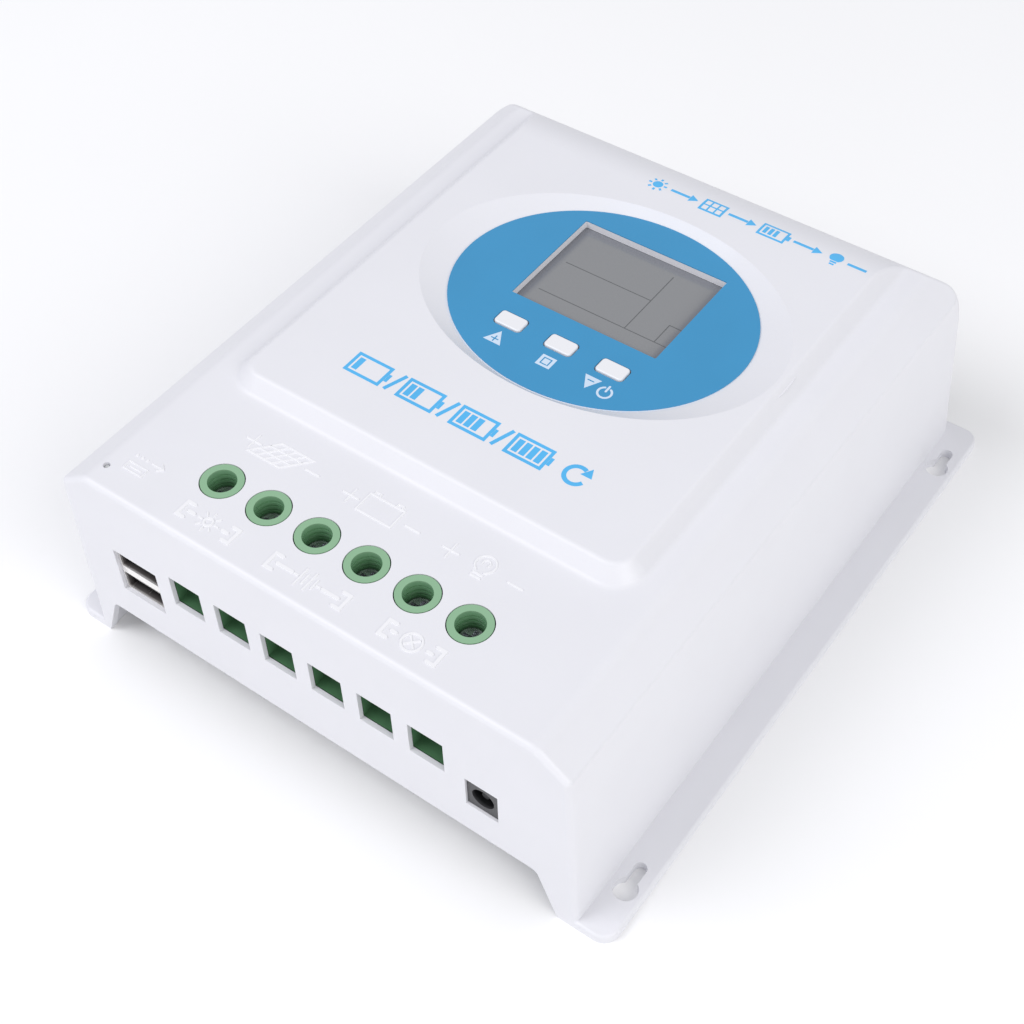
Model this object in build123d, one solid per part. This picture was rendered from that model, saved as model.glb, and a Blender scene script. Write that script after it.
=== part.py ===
from build123d import *
import os
from math import radians, tan

# Solar charge controller: a moulded cover screwed to a finned heat sink, with six screw
# terminals, two USB ports and a barrel jack at the front and a display with three keys on top.
# Millimetres. +Z is up, -Y is the front with the terminals, and the origin is at the centre
# of the base. Heights (z) are above the surface that the flanges rest on.

# ---------------------------------------------------------------- cover
body_depth = 201.0
front = -body_depth / 2
back = body_depth / 2
base_half = 79.3            # half width of the side walls at the base
shoulder_half = 76.5        # half width where the bevel starts
shoulder_z = 62.3
deck_half = 67.5            # half width of the flat deck
deck_z = 68.7
deck_edge_radius = 5.0      # rounding between the deck and the bevel
shoulder_radius = 1.2       # rounding between the bevel and the side wall
top_z = 72.8                # raised platform
back_lean = 8.5             # degrees that the back wall leans forwards
back_radius = 25.0
rim_radius = 1.6
corner_radius = 5.0
wall = 2.3
skirt = 10.0                # how far the working solids run below the base before they are cut

platform_half = 61.6        # half width at the foot of the platform
platform_front = front + 44.6
platform_corner = 9.0
platform_slope = 44.0       # degrees from upright
platform_edge_radius = 1.8
platform_foot_radius = 2.2

flange_half = 88.5
flange_thick = 3.0
flange_corner = 4.6
flange_edge_radius = 0.8
keyhole_x = 83.7
keyhole_y = (front + 14.4, front + 181.4)
keyhole_radius = 3.25
keyhole_slot_radius = 1.7
keyhole_slot_run = 6.7

notch_top_x = (-70.4, 67.5)     # the opening under the front and back walls, between the feet
notch_foot_x = (-77.0, 74.0)
notch_z = 16.5
notch_radius = 2.5
notch_cut_height = 30.0     # how high the working block reaches that limits the notch
vent_gap = 0.5

base_screw_x = 70.5
base_screw_y = (front + 17.0, front + 172.0)
base_boss_radius = 3.5
base_boss_top = 63.6
pilot_depth = 14.0
pilot_radius = 1.6
floor_margin = 3.0          # how far the pad under the dish reaches past it

# ---------------------------------------------------------------- display
display_x = 3.4
dish_y = front + 121.5
dish_half = (52.8, 39.0)    # half axes of the dish at the platform
film_half = (43.1, 36.4)    # half axes of the printed film at the bottom of the dish
film_gap = 0.3
film_thick = 0.3
film_z = 70.5               # floor of the dish
dish_floor = 2.1            # thickness of that floor
window_size = (45.2, 35.4)
window_y = front + 130.0
key_pitch = 15.86
key_y = front + 102.7
key_size = (8.2, 4.9)
key_corner = 1.05
key_gap = 0.35
key_proud = 0.5
key_top_radius = 0.45
key_flange_size = (10.4, 6.4)
key_flange_corner = 1.6
key_flange_thick = 1.2
key_clearance = 0.1
window_corner = 0.4
key_names = ("up", "menu", "down")

display_board_z = (60.9, 62.5)
display_board_size = (76.0, 62.0)
display_board_y = front + 125.0
display_boss_x = 34.5
display_boss_y = 27.5
display_boss_radius = 2.8
display_pilot_radius = 1.05
display_screw_hole = 1.3
display_screw_head = (2.2, 1.7)     # radius and height
display_screw_shank = 1.0
glass_size = (50.0, 42.0)
glass_thick = 2.2
frame_size = (56.0, 46.0)
frame_gap = 0.15
switch_body = 6.0
switch_z = 66.0
plunger_radius = 1.65
plunger_gap = 0.08
plunger_reach = 1.0         # how far the pin goes into its pocket at rest
switch_pocket = 1.8

# ---------------------------------------------------------------- terminals
terminal_pitch = 15.0
terminal_count = 6
terminal_x0 = -38.36        # first of the row
terminal_y = front + 19.0   # screw axis
mouth_width = 10.2
mouth_z = (36.3, 47.3)
housing_width = 14.6
front_skin = 1.3            # the front wall is thinner around the wire entries
housing_y = (front + 1.6, front + 29.6)
housing_top = 61.5
row_gap = 0.3               # between the housings and the pocket in the front wall
collar_radius = 5.45
collar_gap = 0.28
collar_hole_depth = 6.0
well_radius = 3.7
shaft_half = (5.4, 5.0)     # half size of the pocket that the clamp cage slides in
shaft_z = (34.8, 59.4)
seat_z = 60.6
seat_hole_radius = 2.53
bar_half = 3.4
bar_z = (45.4, 46.8)
bar_y = (front + 12.5, front + 27.6)
slot_gap = 0.1
cage_half = (5.2, 4.2)
cage_z = (35.0, 49.4)
cage_side = 1.1
cage_floor = 1.3
cage_plate = 2.4
screw_head_radius = 3.4
screw_head_z = (60.7, 63.2)
screw_shank_radius = 2.45
cage_bore_radius = 2.5
recess_length = 4.8
recess_width = 1.1
recess_depth = 1.6
screw_edge_radius = 0.5
ring_count = 3              # grooves inside the collar
ring_first = 1.6
ring_pitch = 1.5
ring_height = 0.7
ring_depth = 0.35
entry_gap = 0.1

# ---------------------------------------------------------------- sockets
usb_x = -56.1
usb_half = 7.15
usb_z = (28.3, 43.7)
usb_y = (front + 1.0, front + 18.5)
usb_sheet = 0.4
usb_gap = 0.25
port_height = 6.0
tongue_half = 5.6
tongue_thick = 1.9
tongue_setback = 1.6
contact_thick = 0.2
contact_places = (-3.5, -1.0, 1.0, 3.5)
contact_half = 0.5
contact_y = (1.0, 3.0)      # set back from the tongue's tip and from the shell's end
jack_x = 52.3
jack_half = 4.45
jack_z = (28.3, 38.7)
jack_y = (front + 0.6, front + 14.6)
jack_gap = 0.2
jack_hole_radius = 3.15
jack_hole_z = 33.4
jack_pin_radius = 1.0
jack_pin_setback = 1.0
jack_hole_depth = 10.0
jack_pin_length = 11.0
jack_pin_seat = 13.0
jack_face_depth = 3.4       # the square face stands above the body behind it
jack_body_top = 38.0
led_x = -65.2
led_y = front + 6.7
led_hole_radius = 0.95
pipe_radius = 1.5
pipe_tip_gap = 0.3
pipe_tip_drop = 0.8
pipe_foot_gap = 3.2
lamp_half = 1.4
lamp_base = 1.2
lamp_top = 2.6

# ---------------------------------------------------------------- main board and heat sink
board_z = (26.4, 28.2)
board_half = 66.5
board_y = (front + 3.0, front + 150.0)
standoff_x = (-60.0, 0.0, 60.0)
standoff_y = (front + 34.0, front + 136.0)
standoff_radius = 2.9
plate_half = 75.4
plate_y = (front + 5.2, front + 194.0)
plate_z = (17.5, 21.0)
fin_pitch = 12.5
fin_count = 11
fin_thick = 2.0
fin_tip_z = 4.0
transistor_count = 8
transistor_pitch = 15.6
transistor_y = front + 162.0
pad_thick = 0.3
clamp_y = front + 160.5
clamp_size = (128.0, 8.0, 3.0)
transistor_half = (5.0, 4.6)
transistor_height = 4.5
tab_length = 6.4
tab_thick = 1.3
tab_hole = (3.2, 1.8)               # distance from the body and radius
lead_places = (-2.54, 0, 2.54)
lead_half = 0.4
lead_z = (2.3, 2.8)
lead_inset = 4.0                    # where the leads turn up, inside the board's back edge
lead_width = 0.8
pad_half = 62.0
pad_reach = (6.0, 12.0)
pad_hole_radius = 2.0
clamp_hole_radius = 1.7

# screws: head radius, head height, shank radius
base_screw = (2.9, 2.0, 1.5)
base_screw_reach = 9.0
base_hole_radius = 1.7
board_screw = (2.6, 2.0, 1.2)
board_screw_reach = 1.5
board_hole_radius = 1.5
standoff_bore = 1.3
standoff_thread = (2.5, 1.25)       # depth and radius in the heat sink
clamp_screw = (2.8, 2.2, 1.5)
clamp_screw_reach = 2.5
clamp_thread = (2.8, 1.55)
cross_share = 0.62                  # length of the cross recess over the head radius
cross_half = 0.4
cross_depth = 0.9

# ---------------------------------------------------------------- parts on the main board
capacitor_places = ((-48.0, front + 74.0), (-24.0, front + 74.0), (24.0, front + 74.0))
capacitor_radius = 9.0
capacitor_height = 30.0
capacitor_edge = 1.2
groove_z = (3.0, 4.2)
groove_depth = 0.7
score_half = (5.5, 0.3)
score_depth = 0.4
inductor_place = (48.0, front + 70.0)
inductor_radii = (9.5, 4.2)
inductor_height = 6.6
inductor_foot = 6.5
winding_radii = (4.6, 0.8)
winding_turns = 18
fuse_places = ((-9.0, front + 47.0), (14.0, front + 47.0))
fuse_half = (9.5, 2.5)
fuse_z = (6.0, 18.0)
fuse_notch = (3.0, 1.5)             # half width and depth
blade_place = 6.5
blade_half = (2.5, 0.4)
shunt_places = ((-30.0, front + 112.0), (30.0, front + 112.0))
shunt_half = (9.0, 2.0)
shunt_height = 6.0
shunt_thick = 1.0
controller_y = front + 112.0
controller_half = 5.0
controller_height = 1.4
regulator_places = ((-12.0, front + 126.0), (12.0, front + 126.0))
regulator_half = (3.3, 3.0)
regulator_height = 2.3
header_place = (-36.0, front + 125.0)
header_half = (3.0, 8.0)
header_height = 6.0
upper_header_x = display_x - 33.0
ribbon_lean = 6.0
ribbon_rise = (5.0, 9.0)
ribbon_drop = 6.0
ribbon_bend = 3.0
ribbon_thick = 0.9
ribbon_half = 6.4


def block(x, y, z):
    """A block between the low and high limits given for each axis."""
    middle = [(low + high) / 2 for low, high in (x, y, z)]
    size = [high - low for low, high in (x, y, z)]
    return Pos(*middle) * Box(*size)


def around(middle, half):
    """The pair of limits at a half width either side of a middle."""
    return (middle - half, middle + half)


def post(x, y, z, radius):
    """An upright cylinder between two heights."""
    return Pos(x, y, (z[0] + z[1]) / 2) * Cylinder(radius, z[1] - z[0])


def rounded_block(x, y, z, size, corner):
    """An upright block with rounded corners, centred on x and y, between two heights."""
    outline = Pos(x, y, z[0]) * RectangleRounded(size[0], size[1], corner)
    return extrude(outline, z[1] - z[0])


def joined(solids):
    """Separate solids as one part."""
    return Compound(children=list(solids))


def terminal_places():
    """The x of each terminal, left to right."""
    return [terminal_x0 + terminal_pitch * i for i in range(terminal_count)]


def key_places():
    """The x of each key, left to right."""
    return [display_x + key_pitch * i for i in (-1, 0, 1)]


def corners(xs, ys):
    """Every pairing of the given x and y values."""
    return [(x, y) for x in xs for y in ys]


# ---------------------------------------------------------------- cover and its fittings
def body_section(inset):
    """The shell seen from the front: leaning sides, a bevel and the deck, moved in by inset."""
    right = [(base_half, 0), (shoulder_half, shoulder_z), (deck_half, deck_z)]
    left = [(-x, z) for x, z in reversed(right)]
    outline = [(base_half, -skirt), *right, *left, (-base_half, -skirt)]
    section = make_face(Polyline(*outline, close=True))
    section = fillet(section.vertices().group_by(Axis.Y)[-1], deck_edge_radius)
    if inset:
        section = offset(section, amount=-inset, kind=Kind.INTERSECTION)
    return section


def body_side(inset):
    """The shell seen from the side: an upright front and a leaning back with a round top edge."""
    lean = tan(radians(back_lean))
    top_back = back - top_z * lean
    outline = [(front, -skirt), (front, top_z), (top_back, top_z), (back + skirt * lean, -skirt)]
    side = make_face(Polyline(*outline, close=True))
    top_corner = side.vertices().group_by(Axis.Y)[-1].sort_by(Axis.X)[-1]
    side = fillet(top_corner, back_radius)
    if inset:
        side = offset(side, amount=-inset, kind=Kind.INTERSECTION)
    return side


def platform():
    """The raised panel with sloping sides, run on past the back, where the shell trims it."""
    depth = back + 2 * platform_corner - platform_front
    foot = Pos(0, platform_front + depth / 2, deck_z) * RectangleRounded(
        2 * platform_half, depth, platform_corner
    )
    solid = extrude(foot, top_z - deck_z, taper=platform_slope)
    return fillet(solid.faces().sort_by(Axis.Z)[-1].edges(), platform_edge_radius)


def prism_y(section):
    """A front-view section run the whole depth."""
    return extrude(Plane.XZ * section, body_depth, both=True)


def prism_x(side):
    """A side-view section run the whole width."""
    return extrude(Plane.YZ * side, 2 * base_half, both=True)


def outer_shell():
    """The outside of the cover without its flanges."""
    deck = prism_y(body_section(0)) + platform()
    foot_edges = deck.edges().filter_by(
        lambda edge: abs(edge.center().Z - deck_z) < 0.01
        and abs(edge.center().X) < platform_half + 0.5
        and front + 1 < edge.center().Y < back + platform_corner
    )
    deck = fillet(foot_edges, platform_foot_radius)
    shell = deck & prism_x(body_side(0))
    back_corners = shell.edges().filter_by(
        lambda edge: abs(edge.center().X) > shoulder_half - 1
        and edge.center().Y > back - 15
        and -skirt + 1 < edge.center().Z < shoulder_z
    )
    shell = fillet(back_corners, corner_radius)
    shoulders = shell.edges().filter_by(
        lambda edge: abs(abs(edge.center().X) - shoulder_half) < 0.3
        and abs(edge.center().Z - shoulder_z) < 0.5
        and edge.length > body_depth / 2
    )
    shell = fillet(shoulders, shoulder_radius)
    rim = shell.faces().sort_by(Axis.Y)[0].edges().filter_by(
        lambda edge: edge.center().Z > -skirt + 1
    )
    return fillet(rim, rim_radius)


def inner_space():
    """The hollow inside the cover, open downwards."""
    room = prism_y(body_section(wall)) & prism_x(body_side(wall))
    upper = block(
        around(0, platform_half - 6),
        (platform_front + 6, back),
        (deck_z - 2 * wall, top_z - wall),
    ) & prism_x(body_side(wall))
    return room + upper


def keyhole(x, y):
    """A round hole for a screw head, with a slot towards the back for its shank."""
    height = (-1.0, flange_thick + 1.0)
    slot = block(
        around(x, keyhole_slot_radius), (y, y + keyhole_slot_run), height
    ) + post(x, y + keyhole_slot_run, height, keyhole_slot_radius)
    return post(x, y, height, keyhole_radius) + slot


def flanges():
    """The two mounting ears along the sides, with rounded outer corners and top edge."""
    plate = rounded_block(
        0, 0, (0, flange_thick), (2 * flange_half, body_depth), flange_corner
    )
    return fillet(plate.faces().sort_by(Axis.Z)[-1].edges(), flange_edge_radius)


def foot_notch():
    """The opening left between the feet, seen from the front, run the whole depth."""
    outline = [
        (notch_foot_x[0], -1),
        (notch_top_x[0], notch_z),
        (notch_top_x[1], notch_z),
        (notch_foot_x[1], -1),
    ]
    section = make_face(Polyline(*outline, close=True))
    section = fillet(section.vertices().group_by(Axis.Y)[-1], notch_radius)
    return extrude(Plane.XZ * section, body_depth, both=True)


def display_floor():
    """The oval pad under the dish, inside the cover."""
    outline = Ellipse(dish_half[0] + floor_margin, dish_half[1] + floor_margin)
    base = film_z - dish_floor
    return extrude(Pos(display_x, dish_y, base) * outline, top_z - wall / 2 - base)


def dish():
    """The oval dish above the film."""
    low = Pos(display_x, dish_y, film_z) * Ellipse(
        film_half[0] + film_gap, film_half[1] + film_gap
    )
    high = Pos(display_x, dish_y, top_z) * Ellipse(*dish_half)
    return loft([low, high])


def key_outline(x, grow):
    """A key's rounded outline, larger by grow all round."""
    return Pos(x, key_y) * RectangleRounded(
        key_size[0] + 2 * grow, key_size[1] + 2 * grow, key_corner + grow
    )


def display_cuts(z):
    """The window and the key holes between two heights."""
    window = rounded_block(display_x, window_y, z, window_size, window_corner)
    cuts = [window]
    for x in key_places():
        cuts.append(extrude(Pos(0, 0, z[0]) * key_outline(x, key_gap), z[1] - z[0]))
    return cuts


def front_cuts():
    """The openings in the front wall for the wires, the USB ports and the jack."""
    through = (front - 1, front + wall + 1)
    cuts = [
        block(around(x, mouth_width / 2), through, mouth_z) for x in terminal_places()
    ]
    usb_hole = (usb_z[0] - usb_gap, usb_z[1] + usb_gap)
    cuts.append(block(around(usb_x, usb_half + usb_gap), through, usb_hole))
    jack_hole = (jack_z[0] - jack_gap, jack_z[1] + jack_gap)
    cuts.append(block(around(jack_x, jack_half + jack_gap), through, jack_hole))
    return cuts


def cover():
    shell = outer_shell() + flanges()
    shell = shell & block(
        (-flange_half, flange_half), (front, back), (0, top_z + 1)
    )
    shell -= inner_space()
    cavity_foot = wall * 1.5
    shell -= block(
        around(0, base_half - wall),
        (front + wall, back - cavity_foot),
        (-1, flange_thick + 1),
    )
    shell += display_floor()
    for x, y in corners((-base_screw_x, base_screw_x), base_screw_y):
        shell += post(x, y, (plate_z[1], base_boss_top), base_boss_radius)
        shell -= post(x, y, (plate_z[1] - 1, plate_z[1] + pilot_depth), pilot_radius)
    for x, y in display_screw_places():
        shell += post(x, y, (display_board_z[1], film_z - 1), display_boss_radius)
        shell -= post(x, y, (display_board_z[1] - 1, film_z - 2), display_pilot_radius)
    shell -= dish()
    shell -= display_cuts((film_z - dish_floor - 1, top_z))
    shell -= front_cuts()
    first, last = terminal_places()[0], terminal_places()[-1]
    row_ends = (first - housing_width / 2, last + housing_width / 2)
    shell -= block(
        (row_ends[0] - row_gap, row_ends[1] + row_gap),
        (front + front_skin, front + wall + 1),
        (board_z[1] - 1, housing_top + row_gap),
    )
    across = (-flange_half, flange_half)
    height = (-1, notch_cut_height)
    wall_zones = block(across, (front - 1, plate_y[0] - vent_gap), height)
    wall_zones += block(across, (plate_y[1] + vent_gap, back + 1), height)
    shell -= foot_notch() & wall_zones
    hole_z = (deck_z - collar_hole_depth, deck_z + 1)
    for x in terminal_places():
        shell -= post(x, terminal_y, hole_z, collar_radius + collar_gap)
    shell -= post(led_x, led_y, hole_z, led_hole_radius)
    for x, y in corners((-keyhole_x, keyhole_x), keyhole_y):
        shell -= keyhole(x, y)
    return shell


def display_screw_places():
    """Centres of the four screws that hold the display board."""
    xs = (display_x - display_boss_x, display_x + display_boss_x)
    ys = (display_board_y - display_boss_y, display_board_y + display_boss_y)
    return corners(xs, ys)


def display_film():
    top = film_z + film_thick
    film = extrude(Pos(display_x, dish_y, film_z) * Ellipse(*film_half), film_thick)
    for cut in display_cuts((film_z - 1, top + 1)):
        film -= cut
    return film


def display_module():
    """The glass, the light guide behind it and the frame that holds both on the board."""
    glass_top = film_z - dish_floor - key_clearance
    glass_z = (glass_top - glass_thick, glass_top)
    guide_z = (display_board_z[1], glass_z[0])
    across = around(display_x, glass_size[0] / 2)
    along = around(window_y, glass_size[1] / 2)
    glass = block(across, along, glass_z)
    guide = block(across, along, guide_z)
    frame = block(
        around(display_x, frame_size[0] / 2),
        around(window_y, frame_size[1] / 2),
        (display_board_z[1], glass_top),
    )
    frame -= block(
        around(display_x, glass_size[0] / 2 + frame_gap),
        around(window_y, glass_size[1] / 2 + frame_gap),
        (display_board_z[1] - 1, glass_top + 1),
    )
    return glass, guide, frame


def display_board():
    board = rounded_block(
        display_x, display_board_y, display_board_z, display_board_size, 2.0
    )
    for x, y in display_screw_places():
        board -= post(x, y, (display_board_z[0] - 1, display_board_z[1] + 1), display_screw_hole)
    return board


def pan_screw(x, y, head_z, tip_z, head_radius, shank_radius):
    """A round-headed screw with a cross recess. The tip may be above or below the head."""
    low, high = sorted((head_z[0], tip_z))
    if tip_z > head_z[1]:
        low, high = head_z[1], tip_z
    screw = post(x, y, head_z, head_radius) + post(x, y, (low, high), shank_radius)
    outer = head_z[0] if tip_z > head_z[1] else head_z[1]
    cut = (outer - cross_depth, outer + cross_depth)
    arm = cross_share * head_radius
    for size in ((arm, cross_half), (cross_half, arm)):
        screw -= block(around(x, size[0]), around(y, size[1]), cut)
    return screw


def display_screws():
    radius, height = display_screw_head
    head = (display_board_z[0] - height, display_board_z[0])
    tip = film_z - 3
    return joined(
        pan_screw(x, y, head, tip, radius, display_screw_shank)
        for x, y in display_screw_places()
    )


def key_cap(x):
    """A key with a flange below the cover's floor that keeps it in."""
    flange_top = film_z - dish_floor - key_clearance
    flange_z = (flange_top - key_flange_thick, flange_top)
    flange = rounded_block(x, key_y, flange_z, key_flange_size, key_flange_corner)
    top = film_z + film_thick + key_proud
    stem = extrude(Pos(0, 0, flange_top) * key_outline(x, 0), top - flange_top)
    stem = fillet(stem.faces().sort_by(Axis.Z)[-1].edges(), key_top_radius)
    return flange + stem


def key_plunger(x):
    """The moving pin of the switch under a key."""
    top = film_z - dish_floor - key_clearance - key_flange_thick
    return post(x, key_y, (switch_z - plunger_reach, top), plunger_radius)


def key_switches():
    """The fixed bodies of the three switches, each with a pocket for its pin."""
    bodies = []
    for x in key_places():
        body = block(
            around(x, switch_body / 2),
            around(key_y, switch_body / 2),
            (display_board_z[1], switch_z),
        )
        pocket = (switch_z - switch_pocket, switch_z + 1)
        body -= post(x, key_y, pocket, plunger_radius + plunger_gap)
        bodies.append(body)
    return joined(bodies)


# ---------------------------------------------------------------- terminals
def terminal_housing(x):
    """A wire box with a round collar that rises to the deck."""
    housing = block(
        around(x, housing_width / 2), housing_y, (board_z[1], housing_top)
    )
    housing += post(x, terminal_y, (housing_top, deck_z), collar_radius)
    entry = (mouth_z[0] - entry_gap, mouth_z[1] + entry_gap)
    rear_stop = terminal_y + shaft_half[1] + 1
    housing -= block(
        around(x, mouth_width / 2 + entry_gap), (housing_y[0] - 1, rear_stop), entry
    )
    housing -= block(
        around(x, shaft_half[0]), around(terminal_y, shaft_half[1]), shaft_z
    )
    bar_gap = around(x, bar_half + slot_gap)
    bar_room = (bar_y[0] - slot_gap, bar_y[1] + slot_gap)
    bar_height = (bar_z[0] - slot_gap, bar_z[1] + slot_gap)
    housing -= block(bar_gap, bar_room, bar_height)
    leg = bar_z[1] - bar_z[0] + slot_gap
    leg_height = (board_z[1] - 1, bar_z[1])
    housing -= block(bar_gap, (bar_room[1] - leg - slot_gap, bar_room[1]), leg_height)
    housing -= post(x, terminal_y, (shaft_z[1] - 1, seat_z + 1), seat_hole_radius)
    housing -= post(x, terminal_y, (seat_z, deck_z + 1), well_radius)
    for level in range(ring_count):
        top = deck_z - ring_first - ring_pitch * level
        housing -= post(x, terminal_y, (top - ring_height, top), well_radius + ring_depth)
    return housing


def terminal_contact(x):
    """The fixed bar that the wire is clamped against, with its leg down to the board."""
    thick = bar_z[1] - bar_z[0]
    bar = block(around(x, bar_half), bar_y, bar_z)
    leg = block(
        around(x, bar_half), (bar_y[1] - thick, bar_y[1]), (board_z[1], bar_z[1])
    )
    return bar + leg


def terminal_cage(x):
    """The clamp that the screw lifts: a floor, two sides and a threaded plate on top."""
    cage = block(around(x, cage_half[0]), around(terminal_y, cage_half[1]), cage_z)
    hollow = (cage_z[0] + cage_floor, cage_z[1] - cage_plate)
    cage -= block(
        around(x, cage_half[0] - cage_side),
        around(terminal_y, cage_half[1] + 1),
        hollow,
    )
    return cage - post(
        x, terminal_y, (hollow[1] - 1, cage_z[1] + 1), cage_bore_radius
    )


def terminal_screw(x):
    """The clamp screw, with a cross recess in its head."""
    screw = post(x, terminal_y, screw_head_z, screw_head_radius)
    screw = fillet(screw.faces().sort_by(Axis.Z)[-1].edges(), screw_edge_radius)
    tip = bar_z[1] + slot_gap
    screw += post(x, terminal_y, (tip, screw_head_z[0]), screw_shank_radius)
    cut = (screw_head_z[1] - recess_depth, screw_head_z[1] + 1)
    arms = ((recess_length / 2, recess_width / 2), (recess_width / 2, recess_length / 2))
    for arm in arms:
        screw -= block(around(x, arm[0]), around(terminal_y, arm[1]), cut)
    return screw


# ---------------------------------------------------------------- sockets
def port_floors():
    """The floor height of the lower and of the upper USB port."""
    low = usb_z[0] + usb_sheet
    high = usb_z[1] - usb_sheet - port_height
    return low, high


def usb_shell():
    """The folded metal shell of the two stacked ports."""
    shell = block(around(usb_x, usb_half), usb_y, usb_z)
    for floor in port_floors():
        shell -= block(
            around(usb_x, usb_half - usb_sheet),
            (usb_y[0] - 1, usb_y[1] - 2 * usb_sheet),
            (floor, floor + port_height),
        )
    return shell


def tongue_z(floor):
    """The height range of the plastic tongue in the port with that floor."""
    return around(floor + port_height / 2, tongue_thick / 2)


def usb_tongues():
    tongues = []
    for floor in port_floors():
        tongues.append(
            block(
                around(usb_x, tongue_half),
                (usb_y[0] + tongue_setback, usb_y[1] - 2 * usb_sheet),
                tongue_z(floor),
            )
        )
    return joined(tongues)


def usb_contacts():
    """Four contact strips under each tongue."""
    strips = []
    for floor in port_floors():
        under = tongue_z(floor)[0]
        for place in contact_places:
            strips.append(
                block(
                    around(usb_x + place, contact_half),
                    (usb_y[0] + tongue_setback + contact_y[0], usb_y[1] - contact_y[1]),
                    (under - contact_thick, under),
                )
            )
    return joined(strips)


def jack_body():
    body = block(around(jack_x, jack_half), jack_y, jack_z)
    behind = (jack_y[0] + jack_face_depth, jack_y[1] + 1)
    body -= block(around(jack_x, jack_half + 1), behind, (jack_body_top, jack_z[1] + 1))
    bore = Pos(jack_x, jack_y[0], jack_hole_z) * Rot(-90, 0, 0)
    foot = (Align.CENTER, Align.CENTER, Align.MIN)
    hole = Cylinder(jack_hole_radius, jack_hole_depth, align=foot)
    seat = Cylinder(jack_pin_radius, jack_pin_seat, align=foot)
    return body - bore * hole - bore * seat


def jack_pin():
    start = Pos(jack_x, jack_y[0] + jack_pin_setback, jack_hole_z) * Rot(-90, 0, 0)
    foot = (Align.CENTER, Align.CENTER, Align.MIN)
    return start * Cylinder(jack_pin_radius, jack_pin_length, align=foot)


def status_led():
    """A small lamp on the main board, straight under the hole in the deck."""
    foot = board_z[1]
    base = (foot, foot + lamp_base)
    body = block(around(led_x, lamp_half), around(led_y, lamp_half), base)
    return body + post(led_x, led_y, (base[1], foot + lamp_top), lamp_half - 0.2)


def light_pipe():
    """A clear rod that carries the lamp's light up to the deck, with a thinner tip."""
    step = deck_z - 2 * wall
    rod = post(led_x, led_y, (board_z[1] + pipe_foot_gap, step), pipe_radius)
    tip_radius = led_hole_radius - pipe_tip_gap
    return rod + post(led_x, led_y, (step, deck_z - pipe_tip_drop), tip_radius)


# ---------------------------------------------------------------- heat sink
def heat_sink():
    sink = block(around(0, plate_half), plate_y, plate_z)
    first = -fin_pitch * (fin_count - 1) / 2
    for i in range(fin_count):
        x = first + fin_pitch * i
        sink += block(around(x, fin_thick / 2), plate_y, (fin_tip_z, plate_z[0]))
    top = plate_z[1]
    for x, y in corners((-base_screw_x, base_screw_x), base_screw_y):
        sink -= post(x, y, (plate_z[0] - 1, top + 1), base_hole_radius)
    for x, y in corners(standoff_x, standoff_y):
        sink -= post(x, y, (top - standoff_thread[0], top + 1), standoff_thread[1])
    for x in clamp_screw_places():
        sink -= post(x, clamp_y, (top - clamp_thread[0], top + 1), clamp_thread[1])
    return sink


def base_screws():
    radius, height, shank = base_screw
    head = (plate_z[0] - height, plate_z[0])
    tip = plate_z[1] + base_screw_reach
    places = corners((-base_screw_x, base_screw_x), base_screw_y)
    return joined(pan_screw(x, y, head, tip, radius, shank) for x, y in places)


def standoffs():
    """Brass spacers between the heat sink and the main board."""
    spacers = []
    for x, y in corners(standoff_x, standoff_y):
        spacer = Pos(x, y, plate_z[1]) * RegularPolygon(standoff_radius, 6)
        spacer = extrude(spacer, board_z[0] - plate_z[1])
        bore = post(x, y, (plate_z[1] - 1, board_z[0] + 1), standoff_bore)
        spacers.append(spacer - bore)
    return joined(spacers)


def board_screws():
    radius, height, shank = board_screw
    head = (board_z[1], board_z[1] + height)
    tip = plate_z[1] - board_screw_reach
    places = corners(standoff_x, standoff_y)
    return joined(pan_screw(x, y, head, tip, radius, shank) for x, y in places)


def transistor_places():
    """The x of each power transistor."""
    first = -transistor_pitch * (transistor_count - 1) / 2
    return [first + transistor_pitch * i for i in range(transistor_count)]


def clamp_screw_places():
    """The x of the screws between the transistors."""
    return [transistor_pitch * i for i in (-3, -1, 1, 3)]


def transistors():
    """Flat power transistors: a moulded body, a metal tab and three leads under the board."""
    pieces = []
    low = plate_z[1] + pad_thick
    front_face = transistor_y - transistor_half[1]
    tab_start = transistor_y + transistor_half[1]
    lead_height = (low + lead_z[0], low + lead_z[1])
    turn = board_y[1] - lead_inset
    for x in transistor_places():
        piece = block(
            around(x, transistor_half[0]),
            (front_face, tab_start),
            (low, low + transistor_height),
        )
        tab = block(
            around(x, transistor_half[0]),
            (tab_start, tab_start + tab_length),
            (low, low + tab_thick),
        )
        hole = (low - 1, low + tab_thick + 1)
        piece += tab - post(x, tab_start + tab_hole[0], hole, tab_hole[1])
        for place in lead_places:
            across = around(x + place, lead_half)
            piece += block(across, (turn, front_face), lead_height)
            piece += block(across, (turn, turn + lead_width), (lead_height[0], board_z[0]))
        pieces.append(piece)
    return joined(pieces)


def thermal_pad():
    low = plate_z[1]
    reach = (transistor_y - pad_reach[0], transistor_y + pad_reach[1])
    pad = block(around(0, pad_half), reach, (low, low + pad_thick))
    for x in clamp_screw_places():
        pad -= post(x, clamp_y, (low - 1, low + pad_thick + 1), pad_hole_radius)
    return pad


def clamp_bar_z():
    """The underside and the top of the bar that presses on the transistors."""
    low = plate_z[1] + pad_thick + transistor_height
    return low, low + clamp_size[2]


def clamp_bar():
    low, high = clamp_bar_z()
    bar = block(
        around(0, clamp_size[0] / 2), around(clamp_y, clamp_size[1] / 2), (low, high)
    )
    for x in clamp_screw_places():
        bar -= post(x, clamp_y, (low - 1, high + 1), clamp_hole_radius)
    return bar


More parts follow.
